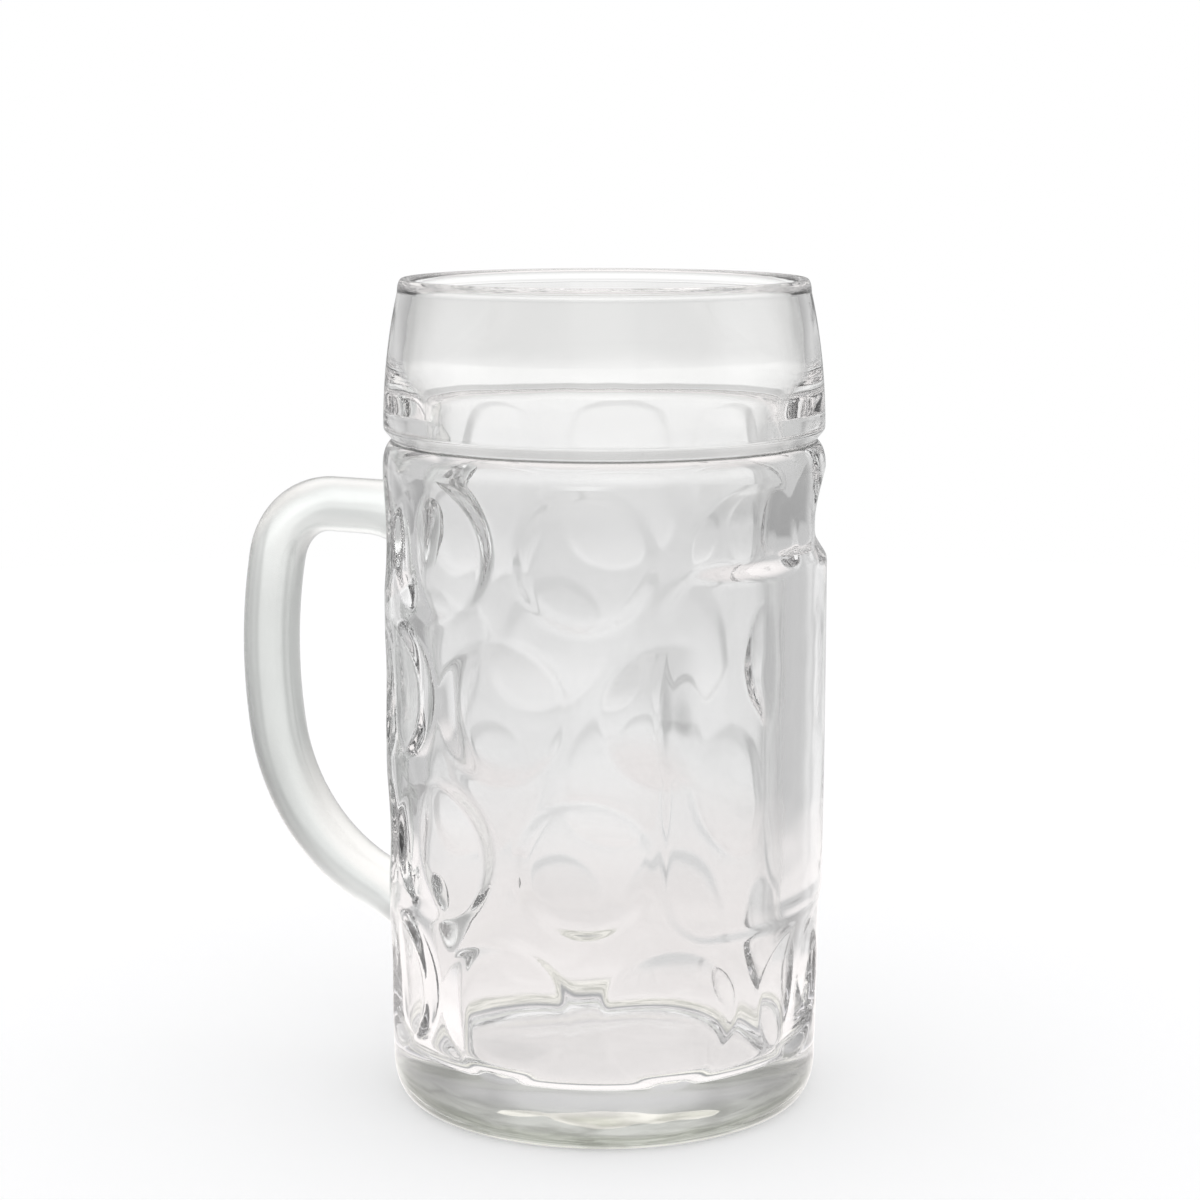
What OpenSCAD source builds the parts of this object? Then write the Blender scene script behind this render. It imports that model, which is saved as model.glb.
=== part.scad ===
// Dimpled glass beer mug with a raised label field and a solid glass handle.
// Origin on the mug's axis at the plane it stands on, +Z up, handle towards -X, label field towards +X.

/* [Mug] */
// Height from the standing ring to the top of the lip
mug_h = 200; // [190:1:230]
// Outer radius of the wall at the shoulder
wall_r = 53.3; // [50:0.1:56]
// Thickness of the wall at the shoulder
wall_t = 9; // [8:0.1:11]
// How much narrower the wall is at its foot than at the shoulder
wall_taper = 1.35; // [0.4:0.05:3]
// Height below which the wall narrows
taper_z = 105; // [80:1:120]
// How much narrower the bore is at the floor
bore_draft = 0.8; // [0:0.1:2]

/* [Base] */
// Height of the inner floor at its edge
floor_z = 13; // [11:0.5:15]
// How much deeper the floor is in its middle
floor_dish = 1; // [0.2:0.1:3]
// Radius of the inner corner between floor and wall
floor_fillet = 7; // [3:0.5:10]
// How far the flat standing ring lies inside the wall's radius
foot_inset = 5.7; // [4.7:0.1:9]
// Width of the flat standing ring
foot_ring_w = 3.4; // [2:0.2:6]
// Depth of the recess inside the standing ring
recess_h = 1.6; // [0.6:0.1:3]
// Height of the rounded outer edge of the base
foot_edge_h = 9; // [5:0.5:10.5]

/* [Dimples] */
// Dimples around the mug
dimple_count = 8; // [6:1:8]
// Depth of a dimple in its middle
dimple_depth = 2.75; // [1.5:0.05:3]
// Radius of the round tool that presses a dimple
dimple_tool_r = 50; // [44:1:52]
// Height from one row to the next
dimple_pitch = 35.5; // [34.5:0.1:38]
// Plain glass between the top row and the shoulder
dimple_margin = 0.3; // [0.1:0.1:2]
// How far the bore swells inwards behind a dimple
bore_swell = 2.2; // [1:0.1:2.2]

/* [Label field] */
// Width of the smooth field, measured round the wall
panel_w = 88; // [80:1:92]
// Height of the smooth field
panel_h = 86.3; // [84:0.1:88]
// Distance from the shoulder down to the field's upper edge
panel_drop = 19.1; // [16:0.1:21]
// Corner radius of the field
panel_corner_r = 12; // [6:1:18]
// How far the field stands proud of the wall
panel_proud = 0.6; // [0.3:0.1:1.2]

/* [Neck and collar] */
// Height of the collar with its lip
collar_h = 35.6; // [30:0.1:44]
// Depth of the neck groove below the shoulder
groove_depth = 2.65; // [1:0.05:3.2]
// Height of the groove's straight upper flank
groove_flank_h = 2.9; // [2:0.1:3.5]
// Height of the rounded shoulder under the groove
shoulder_h = 6.1; // [5:0.1:8]
// How far the collar at its widest lies inside the wall's radius
collar_inset = 0.25; // [0:0.05:2]
// How much narrower the collar is below the lip
collar_draw_in = 3.6; // [1:0.1:5]
// Thickness of the collar
collar_wall = 3.8; // [3:0.1:5]
// Height of the rounded lip
lip_h = 3.2; // [2:0.1:5]
// Height of the soft inner shoulder between bore and collar
inner_shoulder_h = 10; // [7:0.5:12]

/* [Handle] */
// Thickness of the handle between palm and fingers
grip_t = 13.9; // [11:0.1:16]
// Width of the handle, seen from behind
grip_w = 15.8; // [14:0.1:20]
// Distance from the shoulder down to the middle of the top bar
bar_drop = 14.5; // [11:0.1:18]
// Length of the straight top bar between its root and its bend
bar_len = 10.7; // [7:0.1:16]
// Bend radius of the upper corner
corner_bend_r = 17.5; // [15:0.5:20]
// Angle of the upper corner
corner_turn = 79; // [77:1:81]
// Bend radius of the grip
grip_bend_r = 130; // [110:5:160]
// Angle of the grip's slow curve
grip_turn = 20; // [18:1:22]
// Bend radius of the lower sweep
sweep_bend_r = 50; // [45:1:55]
// Angle of the lower sweep
sweep_turn = 60; // [57:1:62]
// Length of the flared upper root outside the wall
root_len = 14; // [10:0.5:18]
// How far the upper root flares downwards
upper_flare = 9; // [4:0.5:11]
// How far the lower root flares up and down
lower_flare = 3; // [1:0.5:4]
// How far both roots flare to the sides
side_flare = 3.5; // [1:0.5:5]

/* [Hidden] */
$fn = 144;

// Overrun of cuts
cut = 1;
// Steps along the wall's slow taper, along a tight curve, and along a flare
band_steps = 4;
arc_steps = 8;
flare_steps = 6;
// Sides of the flared roots' rings, and the sizes of the rings on the wall's face
oval_sides = 32;
face_shares = [1, 0.7, 0.4, 0.1];

clear_glass = [0.84, 0.88, 0.88, 0.6];
grip_glass = [0.88, 0.90, 0.90, 0.7];

// Radii that follow the wall's
bore_r = wall_r - wall_t;
foot_r = wall_r - foot_inset;
collar_r = wall_r - collar_inset;

// Heights at which one stretch of glass passes into the next
collar_z = mug_h - collar_h;
groove_z = collar_z - groove_flank_h;
shoulder_z = groove_z - shoulder_h;
lip_z = mug_h - lip_h;

// Heights of the soft inner shoulder, which lies behind the groove
inner_low_z = groove_z - groove_flank_h / 2;
inner_top_z = inner_low_z + inner_shoulder_h;

// Outer radius of the wall: straight above taper_z, drawn in along a parabola below it
function wall_at(z) = wall_r - wall_taper * pow(max(taper_z - z, 0) / taper_z, 2);

// Outer radius of the collar, drawn in along a parabola towards the lip
function collar_at(z) = collar_r - collar_draw_in * pow((z - collar_z) / (lip_z - collar_z), 2);

// Inner radius: a tapered bore, then a soft shoulder, then a wall of one thickness
function bore_at(z) = bore_r - bore_draft * (shoulder_z - z) / (shoulder_z - floor_z);
function soft_step(share) = (1 - cos(180 * share)) / 2;
function inner_at(z) = z <= shoulder_z ? bore_at(z)
    : z <= inner_low_z ? bore_r
    : z >= inner_top_z ? collar_at(z) - collar_wall
    : bore_r + (collar_at(inner_top_z) - collar_wall - bore_r)
        * soft_step((z - inner_low_z) / inner_shoulder_h);

// Evenly spaced heights from low to high, both ends included
function heights(low, high, steps) = [for (i = [0:steps]) low + (high - low) * i / steps];
wall_zs = concat(heights(floor_z, taper_z, band_steps), [shoulder_z]);
collar_zs = heights(collar_z, lip_z, arc_steps);
inner_zs = concat([shoulder_z], heights(inner_low_z, inner_top_z, arc_steps),
    [for (z = collar_zs) if (z > inner_top_z) z]);

// Outline points on an ellipse round c, from one angle to another
function arc(c, rx, ry, from, to) = [for (i = [0:arc_steps])
    let (a = from + (to - from) * i / arc_steps) [c[0] + rx * cos(a), c[1] + ry * sin(a)]];
function backwards(list) = [for (i = [len(list) - 1:-1:0]) list[i]];

// The inner corner between wall and floor
corner_z = floor_z + floor_fillet;
corner_r = bore_at(corner_z);
floor_edge_r = corner_r - floor_fillet;

module base() {
    recess_r = foot_r - foot_ring_w;
    edge_r = wall_at(foot_edge_h);
    color(clear_glass) rotate_extrude() polygon(concat(
        [[0, recess_h], [recess_r - recess_h, recess_h], [recess_r, 0]],
        arc([foot_r, foot_edge_h], edge_r - foot_r, foot_edge_h, -90, 0),
        [[wall_at(floor_z), floor_z], [floor_edge_r, floor_z], [0, floor_z - floor_dish]]));
}

// Half the height and half the angle of a dimple's outline
dimple_half_h = sqrt(2 * dimple_tool_r * dimple_depth - pow(dimple_depth, 2));
dimple_half_a = acos((wall_r - dimple_depth) / wall_r);

// Rows lie under the shoulder, as many as end above the floor, staggered by half a step
dimple_top_z = shoulder_z - dimple_margin - dimple_half_h;
dimple_rows = 1 + floor((dimple_top_z - dimple_half_h - floor_z) / dimple_pitch);
function row_z(row) = dimple_top_z - row * dimple_pitch;
function dimple_az(row, i) = (i + (row % 2 == 0 ? 1 : 2) / 2) * 360 / dimple_count - 180;

// The label field and its half angle
panel_top_z = shoulder_z - panel_drop;
panel_low_z = panel_top_z - panel_h;
panel_half_a = panel_w / 2 / wall_r * 180 / PI;

// No dimple is pressed where the label field would cover it whole, or behind the lower root
function under_panel(row, az) = abs(az) + dimple_half_a < panel_half_a
    && row_z(row) + dimple_half_h < panel_top_z
    && row_z(row) - dimple_half_h > panel_low_z;
function behind_root(row, az) = 180 - abs(az) < dimple_half_a
    && abs(row_z(row) - lower_wall_z) < dimple_half_h;
function pressed(row, az) = !under_panel(row, az) && !behind_root(row, az);

function beside_panel(az) = abs(az) < panel_half_a + dimple_half_a;

// A segment of a drum that lies across the wall round the dimple tool's middle
module drum_segment(row, az, r, half_h, depth) {
    middle_x = wall_at(row_z(row)) - dimple_depth + dimple_tool_r;
    rotate([0, 0, az]) translate([middle_x, 0, row_z(row)]) rotate([90, 0, 0])
        linear_extrude(height = 2 * (dimple_half_h + cut), center = true) intersection() {
            circle(r = r);
            translate([-r - cut, -half_h]) square([cut + depth, 2 * half_h]);
        }
}

// The round tool's segment, deep enough to clear the taper, that presses one dimple
module dimple_cut(row, az) {
    drum_segment(row, az, dimple_tool_r, dimple_half_h + 2 * cut, dimple_depth + wall_taper / 3);
}

// The glass that one dimple pushes into the bore
module pushed_in(row, az) {
    glass = wall_at(row_z(row)) - dimple_depth - bore_at(row_z(row)) + bore_swell;
    drum_segment(row, az, dimple_tool_r + glass, dimple_half_h + 2 * cut, bore_swell + bore_draft + cut);
}

// Outline of the label field, drawn round the wall and seen along X
module panel_outline() {
    side = panel_w / 2 - panel_corner_r;
    low = panel_low_z + panel_corner_r;
    top = panel_top_z - panel_corner_r;
    points = concat(
        arc([side, low], panel_corner_r, panel_corner_r, -90, 0),
        arc([side, top], panel_corner_r, panel_corner_r, 0, 90),
        arc([-side, top], panel_corner_r, panel_corner_r, 90, 180),
        arc([-side, low], panel_corner_r, panel_corner_r, 180, 270));
    polygon([for (p = points) [wall_r * sin(p[0] / wall_r * 180 / PI), p[1]]]);
}

// The space that the label field takes up, from inside the wall outwards
module panel_space() {
    rotate([90, 0, 90]) translate([0, 0, wall_r / 2]) linear_extrude(height = wall_r) panel_outline();
}

// The wall's outer form, filled, with its dimples
module wall_form() {
    difference() {
        rotate_extrude() polygon(concat([[0, floor_z]],
            [for (z = wall_zs) [wall_at(z), z]], [[0, shoulder_z]]));
        for (row = [0:dimple_rows - 1], i = [0:dimple_count - 1]) {
            az = dimple_az(row, i);
            if (pressed(row, az)) {
                if (beside_panel(az)) {
                    difference() {
                        dimple_cut(row, az);
                        panel_space();
                    }
                } else {
                    dimple_cut(row, az);
                }
            }
        }
    }
}

// The space inside the wall, with the swells behind all dimples that stand clear of the label field
module bore_space() {
    difference() {
        rotate_extrude() polygon(concat([[0, floor_z - cut], [floor_edge_r, floor_z - cut]],
            arc([floor_edge_r, corner_z], floor_fillet, floor_fillet, -90, 0),
            [[bore_r, shoulder_z], [bore_r, shoulder_z + cut], [0, shoulder_z + cut]]));
        for (row = [0:dimple_rows - 1], i = [0:dimple_count - 1]) {
            az = dimple_az(row, i);
            if (pressed(row, az) && !beside_panel(az)) pushed_in(row, az);
        }
    }
}

module dimpled_wall() {
    color(clear_glass) difference() {
        wall_form();
        bore_space();
    }
}

module label_panel() {
    color(clear_glass) intersection() {
        rotate_extrude() polygon(concat(
            [for (z = wall_zs) [wall_at(z) + panel_proud, z]],
            [for (z = backwards(wall_zs)) [wall_at(z), z]]));
        panel_space();
    }
}

module neck_ring() {
    groove_r = wall_r - groove_depth;
    color(clear_glass) rotate_extrude() polygon(concat(
        arc([groove_r, shoulder_z], groove_depth, shoulder_h, 0, 90),
        [[collar_r, collar_z], [inner_at(collar_z), collar_z]],
        [for (z = backwards(inner_zs)) if (z < collar_z) [inner_at(z), z]]));
}

module collar() {
    color(clear_glass) rotate_extrude() polygon(concat(
        [for (z = collar_zs) [collar_at(z), z]],
        [for (z = backwards(inner_zs)) if (z > collar_z) [inner_at(z), z]],
        [[inner_at(collar_z), collar_z]]));
}

module rim_lip() {
    middle_r = collar_at(lip_z) - collar_wall / 2;
    color(clear_glass) rotate_extrude()
        polygon(arc([middle_r, lip_z], collar_wall / 2, lip_h, 0, 180));
}

// The handle's middle line lies in the XZ plane and turns clockwise through three bends.
// It is drawn towards +X and turned round to -X.
bar_z = shoulder_z - bar_drop;
root_x = wall_r + root_len;
bar_reach = root_x + bar_len;

// Middle of a bend that starts at point p with heading h, and the point where it ends
function bend_middle(p, h, r) = [p[0] + r * sin(h), p[1] - r * cos(h)];
function bend_end(p, h, r, turn) = bend_middle(p, h, r) + r * [-sin(h - turn), cos(h - turn)];

corner_from = [bar_reach, bar_z];
grip_from = bend_end(corner_from, 0, corner_bend_r, corner_turn);
sweep_from = bend_end(grip_from, -corner_turn, grip_bend_r, grip_turn);
low_from = bend_end(sweep_from, -corner_turn - grip_turn, sweep_bend_r, sweep_turn);
low_heading = -corner_turn - grip_turn - sweep_turn;
low_len = (low_from[0] - wall_r) / -cos(low_heading);
lower_wall_z = low_from[1] + low_len * sin(low_heading);

// The handle's oval section, its thickness along x and its width along y
module section() {
    side = (grip_w - grip_t) / 2;
    for (y = [-side, side]) translate([0, y]) circle(r = grip_t / 2);
    square([grip_t, 2 * side], center = true);
}

// One tangent run of the handle: a bend from point p and heading h, turned round to -X
module bend(p, h, r, turn) {
    middle = bend_middle(p, h, r);
    color(grip_glass) rotate([0, 0, 180]) translate([middle[0], 0, middle[1]])
        rotate([0, turn - h - 90, 0]) rotate([90, 0, 0])
            rotate_extrude(angle = turn) translate([r, 0]) section();
}

module top_bar() {
    color(grip_glass) translate([-bar_reach, 0, bar_z]) rotate([0, 90, 0])
        linear_extrude(height = bar_len) section();
}

module upper_bend() {
    bend(corner_from, 0, corner_bend_r, corner_turn);
}

module grip() {
    bend(grip_from, -corner_turn, grip_bend_r, grip_turn);
}

module lower_sweep() {
    bend(sweep_from, -corner_turn - grip_turn, sweep_bend_r, sweep_turn);
}

// How far out the wall's face lies beside the handle's plane, with the dimples that reach there
function tool_x(row, z) = wall_at(row_z(row)) - dimple_depth + dimple_tool_r
    - sqrt(pow(dimple_tool_r, 2) - pow(z - row_z(row), 2));
function face_x(y, z) = min(concat([sqrt(pow(wall_at(z), 2) - pow(y, 2))],
    [for (row = [0:dimple_rows - 1]) if (abs(z - row_z(row)) < dimple_half_h + cut)
        let (az = row % 2 == 0 ? 180 / dimple_count : 0)
        if (pressed(row, 180 - az)) (tool_x(row, z) - abs(y) * sin(az)) / cos(az)]));

// Points of the oval section, grown upwards, downwards and to both sides with its corners kept.
// The first of the pair is up, the second is to the side.
function oval(up, down, wide) = let (r = grip_t / 2, side = (grip_w - grip_t) / 2 + wide)
    [for (i = [0:oval_sides - 1]) let (a = 360 * (i + 0.5) / oval_sides)
        [r * cos(a) + (cos(a) > 0 ? up : -down), r * sin(a) + (sin(a) > 0 ? side : -side)]];

// A root leaves the oval at point p with heading h along a hollow curve, leans over to the wall
// and ends on the wall's face. Its rings run from the oval to the middle of that face.
module root(p, h, up, down, wide) {
    len = (p[0] - wall_r) / -cos(h);
    turn = (h > 0 ? 180 : -180) - h;
    free_rings = [for (i = [0:flare_steps - 1])
        let (along = sin(90 * i / flare_steps), grown = 1 - cos(90 * i / flare_steps))
        let (x = p[0] + len * along * cos(h), z = p[1] + len * along * sin(h), slope = h + turn * along)
        [for (q = oval(up * grown, down * grown, wide * grown))
            [x + q[0] * sin(slope), q[1], z - q[0] * cos(slope)]]];
    wall_z = p[1] + len * sin(h);
    face_rings = [for (size_share = face_shares)
        [for (q = oval(up, down, wide)) let (y = q[1] * size_share, z = wall_z + q[0] * size_share)
            [face_x(y, z), y, z]]];
    rings = concat(free_rings, face_rings);
    last = len(rings) - 1;
    sides = [for (k = [0:last - 1], i = [0:oval_sides - 1])
        let (a = k * oval_sides + i, b = k * oval_sides + (i + 1) % oval_sides)
        each [[a, b, b + oval_sides], [a, b + oval_sides, a + oval_sides]]];
    near_end = [for (i = [1:oval_sides - 2]) [0, i + 1, i]];
    far_end = [for (i = [1:oval_sides - 2]) [0, i, i + 1] + last * oval_sides * [1, 1, 1]];
    color(grip_glass) rotate([0, 0, 180])
        polyhedron(points = [for (ring = rings) each ring], faces = concat(near_end, sides, far_end));
}

module upper_root() {
    root([root_x, bar_z], 180, 0, upper_flare, side_flare);
}

module lower_root() {
    root(low_from, low_heading, lower_flare, lower_flare, side_flare);
}

base();
dimpled_wall();
label_panel();
neck_ring();
collar();
rim_lip();
upper_root();
top_bar();
upper_bend();
grip();
lower_sweep();
lower_root();
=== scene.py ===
import bpy
import math
import numpy as np
from mathutils import Matrix, Vector


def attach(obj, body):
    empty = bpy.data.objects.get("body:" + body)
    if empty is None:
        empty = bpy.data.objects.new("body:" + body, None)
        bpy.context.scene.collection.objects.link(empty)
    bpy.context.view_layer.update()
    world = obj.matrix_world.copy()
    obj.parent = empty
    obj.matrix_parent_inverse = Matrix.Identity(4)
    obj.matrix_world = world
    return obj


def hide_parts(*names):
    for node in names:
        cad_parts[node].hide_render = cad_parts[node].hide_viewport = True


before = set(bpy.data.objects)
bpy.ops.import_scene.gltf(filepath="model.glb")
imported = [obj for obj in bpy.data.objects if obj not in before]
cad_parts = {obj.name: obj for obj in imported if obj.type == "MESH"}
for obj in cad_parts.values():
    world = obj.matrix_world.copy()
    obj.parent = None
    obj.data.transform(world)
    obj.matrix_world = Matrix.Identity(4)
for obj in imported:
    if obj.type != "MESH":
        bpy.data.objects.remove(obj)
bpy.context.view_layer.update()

mm = 0.001
turnSteps = 360              # steps of every revolved piece, so that their seams share their points
mergeWithin = 0.004 * mm     # points closer than this become one

# The real mug is one casting. Its stretches meet at seams, whose faces are see-through. Sizes and
# levels are in mm, here and in every piece's values.
seamLevels = {"floor": 13.0, "shoulder": 155.4, "collar": 164.4, "lip": 196.8, "top": 200.0}


# Selecting and small tools

def deselectAll():
    if bpy.context.mode != "OBJECT":
        bpy.ops.object.mode_set(mode="OBJECT")
    bpy.ops.object.select_all(action="DESELECT")


def makeActive(piece):
    deselectAll()
    piece.select_set(True)
    bpy.context.view_layer.objects.active = piece


def applyModifier(piece, kind, **settings):
    makeActive(piece)
    modifier = piece.modifiers.new(kind.title(), kind)
    for key, value in settings.items():
        setattr(modifier, key, value)
    bpy.ops.object.modifier_apply(modifier=modifier.name)


def quarter(middle, rx, rz, fromAngle, toAngle, steps):
    points = []
    for i in range(steps + 1):
        angle = math.radians(fromAngle + (toAngle - fromAngle) * i / steps)
        points.append((middle[0] + rx * math.cos(angle), middle[1] + rz * math.sin(angle)))
    return points


def between(low, high, steps):
    return [low + (high - low) * i / steps for i in range(steps + 1)]


def softEdge(value, low, high):
    # climbs softly from 0 at low to 1 at high
    share = np.clip((value - low) / (high - low), 0, 1)
    return share * share * (3 - 2 * share)


def roundedPath(corners, steps):
    # each corner is (r, z, rounding); the first and last point, and a rounding of 0, stay sharp
    points = []
    for i, (r, z, rounding) in enumerate(corners):
        if rounding == 0:
            points.append((r, z))
            continue
        here = Vector((r, z))
        back = (Vector(corners[i - 1][:2]) - here).normalized()
        ahead = (Vector(corners[i + 1][:2]) - here).normalized()
        half = back.angle(ahead) / 2
        middle = here + (back + ahead).normalized() * rounding / math.sin(half)
        start = here + back * rounding / math.tan(half) - middle
        sweep = start.angle_signed(here + ahead * rounding / math.tan(half) - middle)
        for step in range(steps + 1):
            points.append(tuple(middle + Matrix.Rotation(-sweep * step / steps, 2) @ start))
    return points


def revolve(name, outline, closed):
    # draws the outline as a curve in the XZ plane, makes it a mesh and screws it round the mug's axis
    deselectAll()
    bpy.ops.curve.primitive_nurbs_path_add(location=(0, 0, 0))
    piece = bpy.context.object
    piece.name = name
    piece.data.splines.clear()
    line = piece.data.splines.new("POLY")
    line.points.add(len(outline) - 1)
    for point, (r, z) in zip(line.points, outline):
        point.co = (r * mm, 0, z * mm, 1)
    line.use_cyclic_u = closed
    bpy.ops.object.convert(target="MESH")
    piece = bpy.context.object
    piece.name = name
    applyModifier(piece, "SCREW", angle=2 * math.pi, steps=turnSteps, render_steps=turnSteps, axis="Z",
                  use_merge_vertices=True, merge_threshold=mergeWithin)
    bpy.ops.object.mode_set(mode="EDIT")
    bpy.ops.mesh.select_all(action="SELECT")
    bpy.ops.mesh.remove_doubles(threshold=mergeWithin)
    bpy.ops.mesh.normals_make_consistent(inside=False)
    bpy.ops.object.mode_set(mode="OBJECT")
    return piece


# Materials

def toLinear(hexColour):
    values = [int(hexColour[i:i + 2], 16) / 255 for i in (1, 3, 5)]
    linear = [v / 12.92 if v <= 0.04045 else ((v + 0.055) / 1.055) ** 2.4 for v in values]
    return (*linear, 1.0)


def addNode(material, kind, settings, links=()):
    node = material.node_tree.nodes.new(kind)
    for key, value in settings.items():
        if isinstance(key, str) and hasattr(node, key):
            setattr(node, key, value)
        else:
            node.inputs[key].default_value = value
    for socket, source, output in links:
        material.node_tree.links.new(node.inputs[socket], source.outputs[output])
    return node


def newMaterial(name):
    material = bpy.data.materials.new(name)
    material.use_nodes = True
    material.node_tree.nodes.clear()
    return material


# The Mix node's sockets: its two numbers, its two colours and the colour that comes out
numberA, numberB, colourA, colourB, colourOut = 2, 3, 6, 7, 2

# Soda-lime glass, pressed and fire polished: clear with a breath of green, and faintly wavy
# where it chilled against the mould. The tooled handle is duller, under a fire-polished skin.
# Glass takes away a little light along its way, so each stretch has its own tint, as a pair
# between which it drifts.
glassFinish = {"ior": 1.52, "waveMm": 14.0, "waveDeep": 0.14, "waveRough": 0.4, "pressed": 0.0,
               "tooled": 0.2, "coat": 1.0, "driftMm": 60.0, "thin": ("#F6F6F6", "#F5F5F4"),
               "bar": ("#F9FBF9", "#F5F8F6")}
# Where light runs a longer way through the glass the tint deepens: in the thick wall and in the base's
# edge. The tooled upright of the handle and the groove's sharp line are darkened by painted shade.
# Each tint and painted shade ends across the levels in high, and begins across the levels in low and the
# radii in from, all in mm.
wallTint = {"colour": "#ECECEC", "high": (146.0, 161.0)}
slabTint = {"colour": "#9A9E92", "streak": "#E9ECE1", "streakMm": 14.0, "flatter": 6.0, "fold": 0.6,
            "contrast": (0.36, 0.62), "high": (8.0, 13.0), "from": (42.0, 49.0)}
# painted shade: the upright of the handle is darkened, fading out towards the bends above and below
gripPaintedShade = {"colour": "#DCDEDC", "high": (112.0, 142.0), "low": (38.0, 74.0)}
# painted shade: a thin dark line along the groove's deep line, on its outer face
groovePaintedShade = {"colour": "#4A4C4A", "high": (161.5, 162.0), "low": (161.0, 161.4), "from": (49.0, 49.5)}


def lowShare(material, place, high):
    # 1 below the lower of two levels, 0 above the higher one
    return addNode(material, "ShaderNodeMapRange",
                   {"interpolation_type": "SMOOTHSTEP", "From Min": high[1] * mm, "From Max": high[0] * mm},
                   [("Value", place["split"], "Z")])


def outShare(material, place, band):
    # 0 inside the smaller of two radii, 1 outside the larger one
    return addNode(material, "ShaderNodeMapRange",
                   {"interpolation_type": "SMOOTHSTEP", "From Min": band[0] * mm, "From Max": band[1] * mm},
                   [("Value", place["radius"], "Value")])


def tintAndShadeShare(material, place, tintAndShade):
    # the share of a layer: the glass's own tint, and for the handle's upright and the groove's line a
    # painted shade
    share = lowShare(material, place, tintAndShade["high"])
    if "low" in tintAndShade:
        low = lowShare(material, place, tintAndShade["low"])
        share = addNode(material, "ShaderNodeMath", {"operation": "SUBTRACT"},
                        [(0, share, 0), (1, low, 0)])
    if "from" in tintAndShade:
        aside = outShare(material, place, tintAndShade["from"])
        share = addNode(material, "ShaderNodeMath", {"operation": "MULTIPLY"},
                        [(0, share, 0), (1, aside, 0)])
    return share


def streakColour(material, where, tintAndShade):
    # thin level streaks left by the glass folding over itself as it was pressed
    squeezed = addNode(material, "ShaderNodeVectorMath",
                       {"operation": "MULTIPLY", 1: (1, 1, tintAndShade["flatter"])}, [(0, where, "Object")])
    strand = addNode(material, "ShaderNodeTexNoise",
                     {"Scale": 1 / (tintAndShade["streakMm"] * mm), "Detail": 3.0, "Distortion": tintAndShade["fold"]},
                     [("Vector", squeezed, 0)])
    depth = addNode(material, "ShaderNodeMapRange",
                    {"From Min": tintAndShade["contrast"][0], "From Max": tintAndShade["contrast"][1]},
                    [("Value", strand, "Fac")])
    return addNode(material, "ShaderNodeMix",
                   {"data_type": "RGBA", colourA: toLinear(tintAndShade["colour"]),
                    colourB: toLinear(tintAndShade["streak"])}, [("Factor", depth, 0)])


def pressedGlass(name, clear, deeper, roughness, coat=0.0):
    # clear is the pair of tints, deeper lists the tints and painted shades that are laid over it in turn
    material = newMaterial(name)
    where = addNode(material, "ShaderNodeTexCoord", {})
    drift = addNode(material, "ShaderNodeTexNoise",
                    {"Scale": 1 / (glassFinish["driftMm"] * mm), "Detail": 2.0},
                    [("Vector", where, "Object")])
    colour = addNode(material, "ShaderNodeMix",
                     {"data_type": "RGBA", colourA: toLinear(clear[0]), colourB: toLinear(clear[1])},
                     [("Factor", drift, "Fac")])
    flat = addNode(material, "ShaderNodeVectorMath", {"operation": "MULTIPLY", 1: (1, 1, 0)},
                   [(0, where, "Object")])
    place = {"split": addNode(material, "ShaderNodeSeparateXYZ", {}, [("Vector", where, "Object")]),
             "radius": addNode(material, "ShaderNodeVectorMath", {"operation": "LENGTH"}, [(0, flat, 0)])}
    for tintAndShade in deeper:
        links = [("Factor", tintAndShadeShare(material, place, tintAndShade), 0), (colourA, colour, colourOut)]
        if "streak" in tintAndShade:
            links.append((colourB, streakColour(material, where, tintAndShade), colourOut))
        colour = addNode(material, "ShaderNodeMix",
                         {"data_type": "RGBA", colourB: toLinear(tintAndShade["colour"])}, links)
    wave = addNode(material, "ShaderNodeTexNoise",
                   {"Scale": 1 / (glassFinish["waveMm"] * mm), "Detail": 1.0,
                    "Roughness": glassFinish["waveRough"]}, [("Vector", where, "Object")])
    waveBump = addNode(material, "ShaderNodeBump",
                       {"Strength": 1.0, "Distance": glassFinish["waveDeep"] * mm},
                       [("Height", wave, "Fac")])
    glass = addNode(material, "ShaderNodeBsdfPrincipled",
                    {"Roughness": roughness, "IOR": glassFinish["ior"], "Transmission Weight": 1.0,
                     "Coat Weight": coat},
                    [("Base Color", colour, colourOut), ("Normal", waveBump, "Normal")])
    addNode(material, "ShaderNodeOutputMaterial", {}, [("Surface", glass, "BSDF")])
    return material


def seamMaterial():
    material = newMaterial("seam in one casting")
    clear = addNode(material, "ShaderNodeBsdfTransparent", {})
    addNode(material, "ShaderNodeOutputMaterial", {}, [("Surface", clear, "BSDF")])
    return material


bodyGlass = pressedGlass("pressed soda-lime glass", glassFinish["thin"], [wallTint, slabTint],
                         glassFinish["pressed"])
# the neck and collar's glass: the wall's tint, and painted shade along the groove's deep line
collarGlass = pressedGlass("fire-polished soda-lime glass", glassFinish["thin"], [wallTint, groovePaintedShade],
                           glassFinish["pressed"])
# the handle's glass, with painted shade darkening its upright
handleGlass = pressedGlass("hand-tooled soda-lime glass", glassFinish["bar"], [gripPaintedShade],
                           glassFinish["tooled"], glassFinish["coat"])
seamGlass = seamMaterial()
print("materials made")


# A seam's faces lie near its plane, in mm, and square to it. The handle's glass begins a little past
# the wall, in mm, and edges flatter than an angle are smooth.
sorting = {"near": 0.02, "square": 0.999, "pastWall": 0.3, "smoothTo": 40}


def clearOfWall(place):
    # the roots and the handle stand out past the wall, towards -X
    return place.x < 0 and math.hypot(place.x, place.y) > wallShape["radius"] + sorting["pastWall"]


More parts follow.
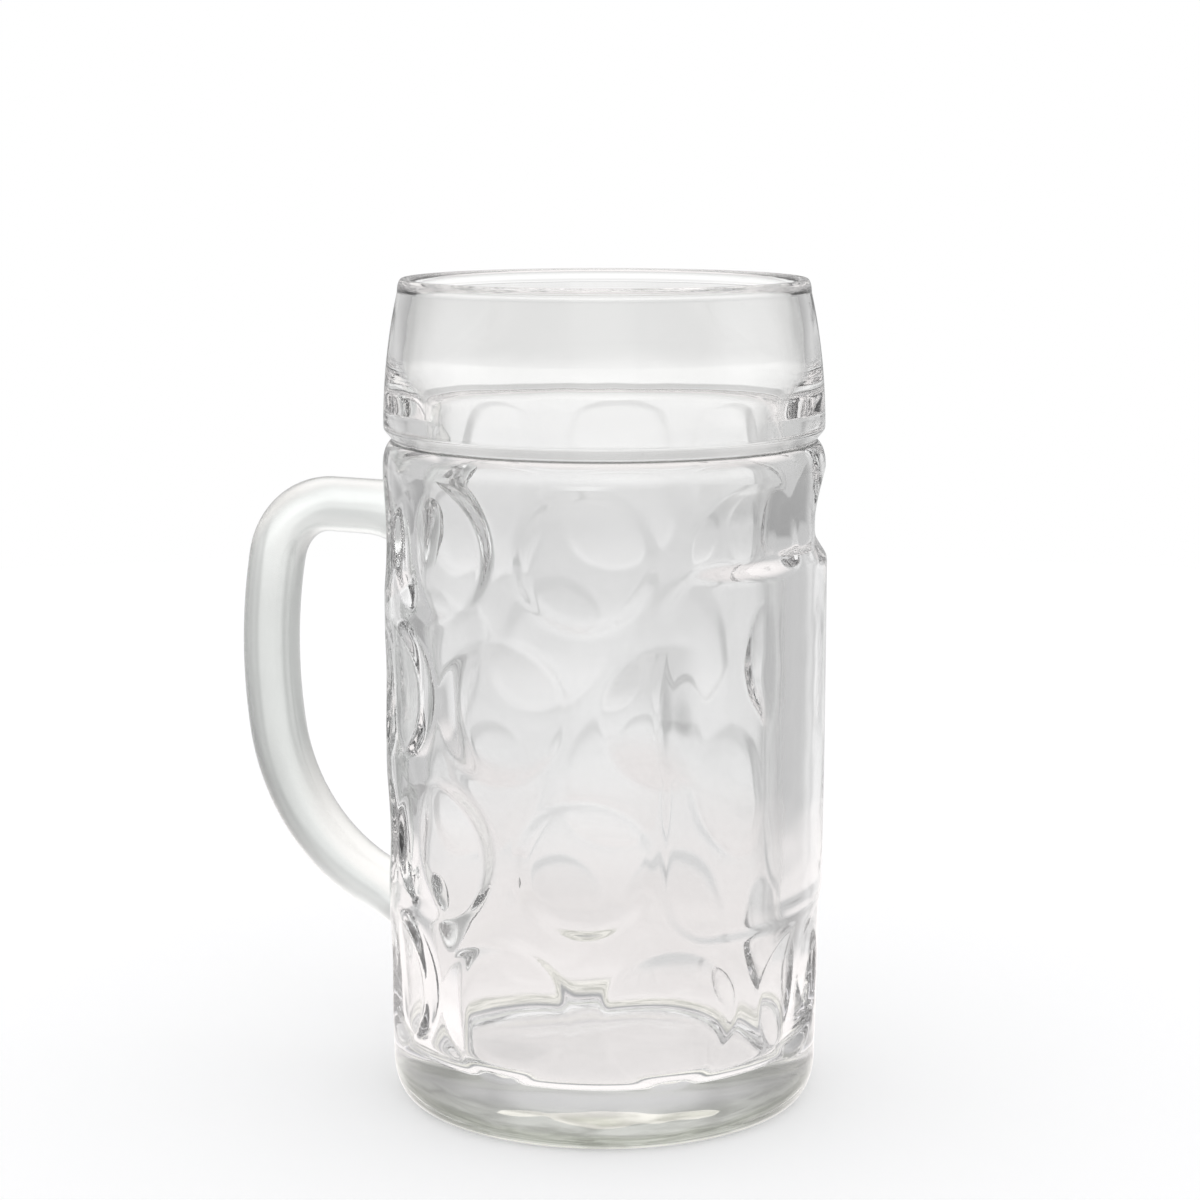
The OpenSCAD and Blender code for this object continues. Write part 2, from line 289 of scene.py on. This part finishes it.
def finishPiece(piece, glass, seams, nodes):
    # seams is a list of planes, each a point and a normal, in mm
    piece.data.materials.clear()
    for material in (glass, seamGlass, handleGlass):
        piece.data.materials.append(material)
    for face in piece.data.polygons:
        for point, normal in seams:
            offset = (face.center / mm - Vector(point)).dot(Vector(normal))
            square = abs(face.normal.dot(Vector(normal))) > sorting["square"]
            if square and abs(offset) < sorting["near"]:
                face.material_index = 1
        if face.material_index == 0 and clearOfWall(face.center / mm):
            face.material_index = 2
    makeActive(piece)
    bpy.ops.object.shade_smooth_by_angle(angle=math.radians(sorting["smoothTo"]))
    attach(piece, "root")
    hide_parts(*nodes)
    print(piece.name, len(piece.data.polygons), "faces")


def levelSeam(name):
    return ((0, 0, seamLevels[name]), (0, 0, 1))


# Wall: a plain thick cylinder first, then the round tool's dimples and the raised field

# The dimples fade out near both ends of the wall, so that its seams stay round
wallShape = {"radius": 53.3, "taper": 1.35, "taperTop": 105.0, "bore": 44.3, "boreDraft": 0.8,
             "fillet": 4.5, "filletSteps": 8, "rowStep": 0.95, "boreStep": 1.3, "fade": 1.2,
             "footFade": 6.5}
# The bore swells inwards behind the dimples. What is called soft rounds the rim of a dimple or swell.
dimpleShape = {"count": 8, "rows": 4, "pitch": 35.5, "topRow": 138.75, "depth": 2.75,
               "halfWide": 16.9, "halfHigh": 16.35, "rimSoft": 0.1, "swell": 1.9, "swellHigh": 15.6,
               "swellSoft": 0.2, "runOut": 0.025}
# The field stops filling the dimples over a distance, counted outwards from its outline: the ledge
# along its top and foot, the fill across its sides
fieldShape = {"wide": 88.0, "low": 50.0, "high": 136.3, "corner": 12.0, "proud": 0.6, "edge": 1.6,
              "ledge": (-3.4, 0.8), "fill": (-9.0, 3.0)}


def wallAt(z):
    drop = max(wallShape["taperTop"] - z, 0) / wallShape["taperTop"]
    return wallShape["radius"] - wallShape["taper"] * drop ** 2


def boreAt(z):
    top, low = seamLevels["shoulder"], seamLevels["floor"]
    return wallShape["bore"] - wallShape["boreDraft"] * (top - z) / (top - low)


def dimpleCentres(swells):
    # no dimple where the field covers it whole or behind the lower root; no swell beside the field
    centres = []
    for row in range(dimpleShape["rows"]):
        z = dimpleShape["topRow"] - row * dimpleShape["pitch"]
        underField = (z + dimpleShape["halfHigh"] < fieldShape["high"]
                      and z - dimpleShape["halfHigh"] > fieldShape["low"])
        for i in range(dimpleShape["count"]):
            turn = (i + (0.5 if row % 2 == 0 else 1.0)) * 2 * math.pi / dimpleShape["count"] - math.pi
            across = abs(turn) * wallShape["radius"]
            covered = underField and across + dimpleShape["halfWide"] < fieldShape["wide"] / 2
            beside = across - dimpleShape["halfWide"] < fieldShape["wide"] / 2
            behindRoot = (row, i) == (dimpleShape["rows"] - 1, dimpleShape["count"] - 1)
            if not (covered or behindRoot or (swells and beside)):
                centres.append((turn, z))
    return centres


def arcApart(turn, other):
    return (turn - other + np.pi) % (2 * np.pi) - np.pi


def pressedDepth(turn, z, centres, halfHigh, depth, soft):
    # how deep the round tool has pressed at each point; its rim is rounded by soft, and a small
    # share of that is taken off again so that the wall between the dimples stays where it is
    deepest = np.zeros(len(turn))
    halfTurn = dimpleShape["halfWide"] / wallShape["radius"]
    for centreTurn, centreZ in centres:
        across = arcApart(turn, centreTurn) / halfTurn
        along = (z - centreZ) / halfHigh
        here = depth * (1 - across ** 2 - along ** 2)
        deepest = np.maximum(deepest, (here + np.hypot(here, soft)) / 2 - soft * dimpleShape["runOut"])
    return deepest


def fieldShare(turn, z):
    # 1 on the raised field, 0 off it, with a soft edge
    corner = fieldShape["corner"]
    middle = (fieldShape["low"] + fieldShape["high"]) / 2
    aside = np.abs(turn) * wallShape["radius"] - (fieldShape["wide"] / 2 - corner)
    apart = np.abs(z - middle) - ((fieldShape["high"] - fieldShape["low"]) / 2 - corner)
    beyond = np.hypot(np.maximum(aside, 0), np.maximum(apart, 0))
    inside = np.minimum(np.maximum(aside, apart), 0)
    return 1 - softEdge(beyond + inside - corner, -fieldShape["edge"], fieldShape["edge"])


def fieldCover(turn, z):
    # how far the field fills the dimples: a short ledge along its top and foot, slow across its sides
    middle = (fieldShape["low"] + fieldShape["high"]) / 2
    aside = np.abs(turn) * wallShape["radius"] - fieldShape["wide"] / 2
    apart = np.abs(z - middle) - (fieldShape["high"] - fieldShape["low"]) / 2
    across = 1 - softEdge(aside, *fieldShape["fill"])
    return across * (1 - softEdge(apart, *fieldShape["ledge"]))


def makeWall():
    floor, top = seamLevels["floor"], seamLevels["shoulder"]
    rows = round((top - floor) / wallShape["rowStep"])
    outline = [(wallAt(z), z) for z in between(floor, top, rows)]
    boreLow = floor + wallShape["fillet"]
    boreRows = round((top - boreLow) / wallShape["boreStep"])
    outline += [(boreAt(z), z) for z in reversed(between(boreLow, top, boreRows))]
    edge = boreAt(boreLow) - wallShape["fillet"]
    outline += quarter((edge, boreLow), wallShape["fillet"], wallShape["fillet"], 0, -90,
                       wallShape["filletSteps"])[1:]
    piece = revolve("glassWall", outline, True)
    places = np.empty(len(piece.data.vertices) * 3)
    piece.data.vertices.foreach_get("co", places)
    places = places.reshape(-1, 3) / mm
    x, y, z = places.T
    r = np.hypot(x, y)
    turn = np.arctan2(y, x)
    outside = r > (wallShape["radius"] + wallShape["bore"]) / 2
    share = fieldShare(turn, z)
    cover = fieldCover(turn, z)
    ends = softEdge(z, floor, floor + wallShape["footFade"]) * softEdge(top - z, 0, wallShape["fade"])
    pressed = pressedDepth(turn, z, dimpleCentres(False), dimpleShape["halfHigh"], dimpleShape["depth"],
                           dimpleShape["rimSoft"])
    swollen = pressedDepth(turn, z, dimpleCentres(True), dimpleShape["swellHigh"], dimpleShape["swell"],
                           dimpleShape["swellSoft"])
    outer = r - ends * (1 - cover) * pressed + share * fieldShape["proud"]
    boreEnds = softEdge(z, floor, boreLow + wallShape["fillet"]) * softEdge(top - z, 0, wallShape["fade"])
    moved = np.where(outside, outer, r - boreEnds * swollen)
    places[:, 0] *= moved / r
    places[:, 1] *= moved / r
    piece.data.vertices.foreach_set("co", (places * mm).ravel())
    return piece


glassWall = makeWall()


# Base: a thick slab with a rounded edge, a flat standing ring and a shallow recess

baseShape = {"footRadius": 47.6, "ringWide": 3.4, "recess": 1.6, "recessRun": 6.0, "edgeHigh": 9.0,
             "dish": 1.0, "recessSteps": 12, "runSteps": 10, "edgeSteps": 16, "sideSteps": 5,
             "dishSteps": 30}


def makeBase():
    floor, recess, run = seamLevels["floor"], baseShape["recess"], baseShape["recessRun"]
    ringEdge = baseShape["footRadius"] - baseShape["ringWide"]
    edge = wallAt(baseShape["edgeHigh"])
    wallEdge = boreAt(floor + wallShape["fillet"]) - wallShape["fillet"]
    outline = [(r, recess) for r in between(0, ringEdge - run, baseShape["recessSteps"])]
    outline += [(ringEdge - run * (1 - t), recess * (1 - softEdge(t, 0, 1)))
                for t in between(0, 1, baseShape["runSteps"])[1:]]
    outline += quarter((baseShape["footRadius"], baseShape["edgeHigh"]), edge - baseShape["footRadius"],
                       baseShape["edgeHigh"], -90, 0, baseShape["edgeSteps"])
    outline += [(wallAt(z), z) for z in between(baseShape["edgeHigh"], floor, baseShape["sideSteps"])[1:]]
    outline += [(wallEdge, floor)]
    outline += [(wallEdge * s, floor - baseShape["dish"] * (1 - s * s))
                for s in between(1, 0, baseShape["dishSteps"])[1:]]
    piece = revolve("glassBase", outline, False)
    finishPiece(piece, bodyGlass, [levelSeam("floor")], ["base"])


makeBase()


# Neck and collar: a pressed groove, then a plain wall that bulges a little and draws in to the lip

# The shoulder inside runs through its corners, each a radius, a level and its rounding. The round
# shoulder outside turns through roundTo degrees. The collar's even curve begins at cornerRun above
# its lower corner. The seam's cut drops a point of the outline that is nearer than splitNear.
collarShape = {"radius": 53.05, "drawIn": 3.6, "wall": 3.8, "grooveRadius": 50.65, "grooveLevel": 161.5,
               "crownIn": 1.25, "cornerRound": 1.6, "grooveRound": 0.5, "plainFrom": 182.0,
               "shoulder": [(44.3, 158.0, 12.0), (48.7, 177.0, 30.0)], "roundTo": 78, "cornerRun": 1.5,
               "roundSteps": 26, "innerSteps": 44, "outerSteps": 50, "innerCorner": 12,
               "outerCorner": 10, "crownSteps": 14, "lipSteps": 18, "splitNear": 0.05}


def collarAt(z):
    share = (z - seamLevels["collar"]) / (seamLevels["lip"] - seamLevels["collar"])
    return collarShape["radius"] - collarShape["drawIn"] * share ** 2


def innerPath():
    # the inner outline from the shoulder's seam up to the lip's
    shoulder, lip = seamLevels["shoulder"], seamLevels["lip"]
    plain = [(collarAt(z) - collarShape["wall"], z)
             for z in between(collarShape["plainFrom"], lip, collarShape["innerSteps"])]
    corners = [(wallShape["bore"], shoulder, 0)] + collarShape["shoulder"] + [(*plain[0], 0)]
    return roundedPath(corners, collarShape["innerCorner"]) + plain[1:]


def outerPath():
    # the outer outline: the round shoulder, the groove's deep line, its flank and the collar
    shoulder, collar, lip = seamLevels["shoulder"], seamLevels["collar"], seamLevels["lip"]
    groove = (collarShape["grooveRadius"], collarShape["grooveLevel"])
    path = quarter((groove[0], shoulder), wallShape["radius"] - groove[0], groove[1] - shoulder,
                   0, collarShape["roundTo"], collarShape["roundSteps"])
    plain = [(collarAt(z), z)
             for z in between(collar + collarShape["cornerRun"], lip, collarShape["outerSteps"])]
    corners = [(*path[-1], 0), (*groove, collarShape["grooveRound"]),
               (collarShape["radius"], collar, collarShape["cornerRound"]), (*plain[0], 0)]
    return path[:-1] + roundedPath(corners, collarShape["outerCorner"]) + plain[1:]


def splitPath(path, level):
    # cuts a path that climbs at a level, and gives both parts the cut's own point
    above = next(i for i, (r, z) in enumerate(path) if z > level)
    (lowR, lowZ), (highR, highZ) = path[above - 1], path[above]
    cut = (lowR + (highR - lowR) * (level - lowZ) / (highZ - lowZ), level)
    low = path[:above] if lowZ < level - collarShape["splitNear"] else path[:above - 1]
    high = path[above:] if highZ > level + collarShape["splitNear"] else path[above + 1:]
    return low + [cut], [cut] + high


def makeNeck():
    collar = seamLevels["collar"]
    outline = splitPath(outerPath(), collar)[0] + splitPath(innerPath(), collar)[0][::-1]
    piece = revolve("glassNeck", outline, True)
    finishPiece(piece, collarGlass, [levelSeam("shoulder"), levelSeam("collar")], ["neck_ring"])


def makeCollar():
    collar = seamLevels["collar"]
    outline = splitPath(outerPath(), collar)[1] + splitPath(innerPath(), collar)[1][::-1]
    piece = revolve("glassCollar", outline, True)
    finishPiece(piece, collarGlass, [levelSeam("collar"), levelSeam("lip")], ["collar"])


def makeLip():
    lip, high = seamLevels["lip"], seamLevels["top"] - seamLevels["lip"]
    crown = collarAt(lip) - collarShape["crownIn"]
    inwards = collarShape["wall"] - collarShape["crownIn"]
    outline = quarter((crown, lip), collarShape["crownIn"], high, 0, 90, collarShape["crownSteps"])
    outline += quarter((crown, lip), inwards, high, 90, 180, collarShape["lipSteps"])[1:]
    piece = revolve("glassLip", outline, True)
    finishPiece(piece, collarGlass, [levelSeam("lip")], ["rim_lip"])


makeNeck()
makeCollar()
makeLip()


# Handle: an oval bar, extruded along its straight stretches and spun round its three bends

# Each bend is a radius, an angle and its steps
handleShape = {"thick": 13.9, "wide": 15.8, "level": 140.9, "rootEnd": 67.3, "barEnd": 78.0,
               "barSteps": 6, "bends": [(17.5, 79.0, 40), (130.0, 20.0, 30), (50.0, 60.0, 40)],
               "sides": 64}


def bendSide(heading):
    # from the bar towards the middle of its bend, when it runs at an angle in degrees
    return Vector((math.sin(math.radians(heading)), -math.cos(math.radians(heading))))


def handleSeams(lowEnd, heading):
    # the planes where the bar's upper and lower ends meet the roots
    angle = math.radians(heading)
    return [((-handleShape["rootEnd"], 0, handleShape["level"]), (1, 0, 0)),
            ((-lowEnd.x, 0, lowEnd.y), (-math.cos(angle), 0, math.sin(angle)))]


def makeHandle():
    # drawn towards +X in the XZ plane and turned round to -X at the end
    deselectAll()
    start = Vector((handleShape["rootEnd"], 0, handleShape["level"])) * mm
    bpy.ops.mesh.primitive_circle_add(vertices=handleShape["sides"], radius=handleShape["thick"] / 2 * mm,
                                      fill_type="NGON", location=start, rotation=(0, math.pi / 2, 0))
    piece = bpy.context.object
    piece.name = "glassHandle"
    bpy.ops.object.transform_apply(location=True, rotation=True, scale=True)
    bpy.ops.object.mode_set(mode="EDIT")
    bpy.ops.mesh.select_all(action="SELECT")
    bpy.ops.transform.resize(value=(1, handleShape["wide"] / handleShape["thick"], 1),
                             center_override=start)
    step = (handleShape["barEnd"] - handleShape["rootEnd"]) / handleShape["barSteps"]
    for _ in range(handleShape["barSteps"]):
        bpy.ops.mesh.extrude_region_move(TRANSFORM_OT_translate={"value": (step * mm, 0, 0)})
    here = Vector((handleShape["barEnd"], handleShape["level"]))
    heading = 0.0
    for radius, turn, steps in handleShape["bends"]:
        middle = here + radius * bendSide(heading)
        bpy.ops.mesh.spin(steps=steps, angle=math.radians(turn), center=(middle.x * mm, 0, middle.y * mm),
                          axis=(0, -1, 0))
        heading -= turn
        here = middle - radius * bendSide(heading)
    bpy.ops.mesh.select_all(action="SELECT")
    bpy.ops.mesh.remove_doubles(threshold=mergeWithin)
    bpy.ops.transform.rotate(value=math.pi, orient_axis="Z", center_override=(0, 0, 0))
    bpy.ops.mesh.normals_make_consistent(inside=False)
    bpy.ops.object.mode_set(mode="OBJECT")
    finishPiece(piece, handleGlass, handleSeams(here, heading),
                ["top_bar", "upper_bend", "grip", "lower_sweep"])
    return here, heading


lowEnd, lowHeading = makeHandle()


# Roots: the bar's two ends, drawn out to a hollow flare and melted on to the wall

# The flares are what the bar's section grows by down to the wall, with its last rings at the depths
rootShape = {"upperFlare": 9.0, "lowerFlare": 3.0, "sideFlare": 3.5, "steps": 14,
             "depths": (1.5, 5.0, 7.0)}


def growOval(up, down, wide):
    # the oval section's points, each (in the handle's plane, sideways), grown by up, down and wide
    points = []
    for i in range(handleShape["sides"]):
        angle = 2 * math.pi * i / handleShape["sides"]
        tall, side = math.cos(angle), math.sin(angle)
        tall = tall * (handleShape["thick"] / 2 + (up if tall > 0 else down))
        points.append((tall, side * (handleShape["wide"] / 2 + wide)))
    return points


def makeRoot(name, start, heading, up, down, wide):
    # rings from the bar's end at start to the wall's face, then a little into the glass
    heading = math.radians(heading)
    run = (start[0] - wallShape["radius"]) / -math.cos(heading)
    lean = (math.pi if heading > 0 else -math.pi) - heading
    rings = []
    for i in range(rootShape["steps"] + 1):
        share = i / rootShape["steps"]
        along, grown = math.sin(share * math.pi / 2), 1 - math.cos(share * math.pi / 2)
        x, z = start[0] + run * along * math.cos(heading), start[1] + run * along * math.sin(heading)
        slope = heading + lean * along
        rings.append([(x + tall * math.sin(slope), side, z - tall * math.cos(slope))
                      for tall, side in growOval(up * grown, down * grown, wide * grown)])
    for depth in rootShape["depths"]:
        rings.append([(x - depth, y, z) for x, y, z in rings[rootShape["steps"]]])
    mesh = bpy.data.meshes.new(name)
    sides = handleShape["sides"]
    points = [(-x * mm, -y * mm, z * mm) for ring in rings for x, y, z in ring]
    faces = [(k * sides + i, k * sides + (i + 1) % sides, (k + 1) * sides + (i + 1) % sides,
              (k + 1) * sides + i) for k in range(len(rings) - 1) for i in range(sides)]
    faces.append(tuple(range(sides)))
    faces.append(tuple((len(rings) - 1) * sides + i for i in range(sides)))
    mesh.from_pydata(points, [], faces)
    root = bpy.data.objects.new(name, mesh)
    bpy.context.collection.objects.link(root)
    makeActive(root)
    bpy.ops.object.mode_set(mode="EDIT")
    bpy.ops.mesh.select_all(action="SELECT")
    bpy.ops.mesh.normals_make_consistent(inside=False)
    bpy.ops.object.mode_set(mode="OBJECT")
    return root


def meltRoots(wall):
    upper = makeRoot("upperRoot", (handleShape["rootEnd"], handleShape["level"]), 180, 0,
                     rootShape["upperFlare"], rootShape["sideFlare"])
    lower = makeRoot("lowerRoot", tuple(lowEnd), lowHeading, rootShape["lowerFlare"],
                     rootShape["lowerFlare"], rootShape["sideFlare"])
    for root in (upper, lower):
        applyModifier(wall, "BOOLEAN", operation="UNION", solver="MANIFOLD", object=root)
        bpy.data.objects.remove(root)
    seams = [levelSeam("floor"), levelSeam("shoulder")] + handleSeams(lowEnd, lowHeading)
    finishPiece(wall, bodyGlass, seams, ["dimpled_wall", "label_panel", "upper_root", "lower_root"])


meltRoots(glassWall)


# Camera, floor and light

studio = {"lensMm": 84.3, "sensorMm": 36.0, "away": 674.2, "high": 233.5, "down": 9.39, "turn": 27.7,
          "aside": 1.03}


def makeCamera():
    turn = math.radians(studio["turn"])
    out = Vector((math.sin(turn), -math.cos(turn), 0))
    right = Vector((math.cos(turn), math.sin(turn), 0))
    place = out * studio["away"] - right * studio["aside"] + Vector((0, 0, studio["high"]))
    deselectAll()
    bpy.ops.object.camera_add(location=place * mm, rotation=(math.radians(90 - studio["down"]), 0, turn))
    camera = bpy.context.object
    camera.data.lens = studio["lensMm"]
    camera.data.sensor_width = studio["sensorMm"]
    camera.data.dof.use_dof = False
    bpy.context.scene.camera = camera


# What the camera sees of the paper is part lit and part its own white, so that the shadow stays soft.
# What the glass sees of it has the mug's contact shadow and its soft shade, each a radius in metres
# and a colour, and gives way to the tent further out.
paper = {"wide": 0.9, "sides": 96, "lit": "#D6D6D7", "lift": 0.36, "reach": 0.4, "fadeFrom": 0.16,
         "fadeTo": 0.38, "glow": 1.3,
         "shade": [(0.0, "#F7F3F2"), (0.0440, "#F7F3F2"), (0.0468, "#9A9CA1"), (0.0475, "#9A9CA1"),
                   (0.0495, "#FBF7F6"), (0.09, "#FBF7F6"), (0.13, "#F2EEED")]}


def seenByGlass(material, path):
    # 1 for what is seen through the glass or mirrored in it, 0 for what the camera sees itself
    return addNode(material, "ShaderNodeMath", {"operation": "MAXIMUM"},
                   [(0, path, "Is Glossy Ray"), (1, path, "Is Transmission Ray")])


def makeFloor():
    deselectAll()
    bpy.ops.mesh.primitive_circle_add(vertices=paper["sides"], radius=paper["wide"], fill_type="NGON",
                                      location=(0, 0, 0))
    floor = bpy.context.object
    floor.name = "studioFloor"
    material = newMaterial("white sweep paper")
    lit = addNode(material, "ShaderNodeBsdfDiffuse", {"Color": toLinear(paper["lit"])})
    lift = addNode(material, "ShaderNodeEmission", {"Color": (1, 1, 1, 1), "Strength": paper["lift"]})
    seenPaper = addNode(material, "ShaderNodeAddShader", {}, [(0, lit, 0), (1, lift, 0)])
    path = addNode(material, "ShaderNodeLightPath", {})
    where = addNode(material, "ShaderNodeTexCoord", {})
    fromMug = addNode(material, "ShaderNodeVectorMath", {"operation": "LENGTH"}, [(0, where, "Object")])
    edge = addNode(material, "ShaderNodeMapRange",
                   {"interpolation_type": "SMOOTHSTEP", "From Min": paper["fadeFrom"],
                    "From Max": paper["fadeTo"]}, [("Value", fromMug, "Value")])
    share = addNode(material, "ShaderNodeMath", {"operation": "DIVIDE", 1: paper["reach"]},
                    [(0, fromMug, "Value")])
    shade = addNode(material, "ShaderNodeValToRGB", {}, [(0, share, 0)])
    shade.color_ramp.interpolation = "EASE"
    for radius, colour in paper["shade"][2:]:
        shade.color_ramp.elements.new(radius / paper["reach"])
    for stop, (radius, colour) in zip(shade.color_ramp.elements, paper["shade"]):
        stop.position = radius / paper["reach"]
        stop.color = toLinear(colour)
    near = addNode(material, "ShaderNodeEmission", {"Strength": paper["glow"]}, [("Color", shade, "Color")])
    seeThrough = addNode(material, "ShaderNodeBsdfTransparent", {})
    glassPaper = addNode(material, "ShaderNodeMixShader", {},
                         [(0, edge, 0), (1, near, 0), (2, seeThrough, 0)])
    mix = addNode(material, "ShaderNodeMixShader", {},
                  [(0, seenByGlass(material, path), 0), (1, seenPaper, 0), (2, glassPaper, 0)])
    addNode(material, "ShaderNodeOutputMaterial", {}, [("Surface", mix, 0)])
    floor.data.materials.append(material)


def towards(world, split, direction, narrow, wide, strength):
    # a soft patch of light round a direction and its opposite; narrow and wide are angles in degrees
    parts = [addNode(world, "ShaderNodeMath", {"operation": "MULTIPLY", 1: value}, [(0, split, axis)])
             for value, axis in zip(direction, "XYZ")]
    flat = addNode(world, "ShaderNodeMath", {"operation": "ADD"}, [(0, parts[0], 0), (1, parts[1], 0)])
    full = addNode(world, "ShaderNodeMath", {"operation": "ADD"}, [(0, flat, 0), (1, parts[2], 0)])
    both = addNode(world, "ShaderNodeMath", {"operation": "ABSOLUTE"}, [(0, full, 0)])
    return addNode(world, "ShaderNodeMapRange",
                   {"interpolation_type": "SMOOTHSTEP", "From Min": math.cos(math.radians(wide)),
                    "From Max": math.cos(math.radians(narrow)), "To Max": strength}, [("Value", both, 0)])


# Each patch is a direction (in the camera's frame: right, ahead, up), its inner and outer angle and
# how much light it adds to the tent's grey. The backdrop is brighter low down, where the paper sweeps
# up to it, duller up high, and has a flag at each side. The ground is the least light from below.
# Each pair that ends in At gives the heights between which that level changes, and flagAt is how far
# a flag stands aside, all on a sphere of radius 1.
tent = {"grey": 0.43, "back": ((0, 1, 0), 8, 46, 0.54), "side": ((1, 0, 0.15), 8, 32, 0.54),
        "top": ((0, 0.2, 1), 20, 62, 1.0), "ground": 0.66, "groundAt": (-0.02, -0.12),
        "bright": 1.45, "brightAt": (-0.11, -0.25), "above": 0.6, "aboveAt": (-0.06, 0.035),
        "flag": 0.45, "flagAt": 0.36, "flagWide": 0.10}


def flagShare(world, where, turn):
    # 1 all over the backdrop, less on the two upright flags beside it
    sideways = addNode(world, "ShaderNodeVectorMath",
                       {"operation": "DOT_PRODUCT", 1: (math.cos(turn), math.sin(turn), 0)},
                       [(0, where, "Generated")])
    off = addNode(world, "ShaderNodeMath", {"operation": "ABSOLUTE"}, [(0, sideways, "Value")])
    fromFlag = addNode(world, "ShaderNodeMath", {"operation": "SUBTRACT", 1: tent["flagAt"]}, [(0, off, 0)])
    apart = addNode(world, "ShaderNodeMath", {"operation": "ABSOLUTE"}, [(0, fromFlag, 0)])
    return addNode(world, "ShaderNodeMapRange",
                   {"interpolation_type": "SMOOTHSTEP", "From Min": 0.0, "From Max": tent["flagWide"],
                    "To Min": 1 - tent["flag"], "To Max": 1.0}, [("Value", apart, 0)])


def makeWorld():
    world = bpy.data.worlds.new("light tent")
    bpy.context.scene.world = world
    world.use_nodes = True
    world.node_tree.nodes.clear()
    path = addNode(world, "ShaderNodeLightPath", {})
    where = addNode(world, "ShaderNodeTexCoord", {})
    split = addNode(world, "ShaderNodeSeparateXYZ", {}, [("Vector", where, "Generated")])
    # each level changes softly from its first value to its last, with the height of the direction
    levels = []
    for (fromZ, toZ), first, last in ((tent["brightAt"], 1.0, tent["bright"]),
                                      (tent["aboveAt"], 1.0, tent["above"]),
                                      (tent["groundAt"], 0.0, tent["ground"])):
        levels.append(addNode(world, "ShaderNodeMapRange",
                              {"interpolation_type": "SMOOTHSTEP", "From Min": fromZ, "From Max": toZ,
                               "To Min": first, "To Max": last}, [("Value", split, "Z")]))
    bright, above, ground = levels
    turn = math.radians(studio["turn"])
    flags = flagShare(world, where, turn)
    # the outer faces mirror the room, which is darker than the backdrop
    direct = addNode(world, "ShaderNodeMath", {"operation": "SUBTRACT", 0: 1.0},
                     [(1, path, "Is Reflection Ray")])
    total = addNode(world, "ShaderNodeMath", {"operation": "ADD", 0: tent["grey"], 1: 0.0})
    for name in ("back", "side", "top"):
        (right, ahead, up), narrow, wide, strength = tent[name]
        direction = Vector((right * math.cos(turn) - ahead * math.sin(turn),
                            right * math.sin(turn) + ahead * math.cos(turn), up)).normalized()
        patch = towards(world, split, direction, narrow, wide, strength)
        if name == "back":
            for factor in (direct, bright, above, flags):
                patch = addNode(world, "ShaderNodeMath", {"operation": "MULTIPLY"},
                                [(0, patch, 0), (1, factor, 0)])
        total = addNode(world, "ShaderNodeMath", {"operation": "ADD"}, [(0, patch, 0), (1, total, 0)])
    total = addNode(world, "ShaderNodeMath", {"operation": "MAXIMUM"}, [(0, total, 0), (1, ground, 0)])
    strength = addNode(world, "ShaderNodeMix", {"data_type": "FLOAT", numberA: 1.0},
                       [(0, seenByGlass(world, path), 0), (numberB, total, 0)])
    light = addNode(world, "ShaderNodeBackground", {"Color": (1, 1, 1, 1)}, [("Strength", strength, 0)])
    addNode(world, "ShaderNodeOutputWorld", {}, [("Surface", light, 0)])


makeCamera()
makeFloor()
makeWorld()

scene = bpy.context.scene
scene.view_settings.view_transform = "Standard"
scene.cycles.max_bounces = 32
scene.cycles.transmission_bounces = 32
scene.cycles.glossy_bounces = 16
scene.cycles.transparent_max_bounces = 64
print("studio made")
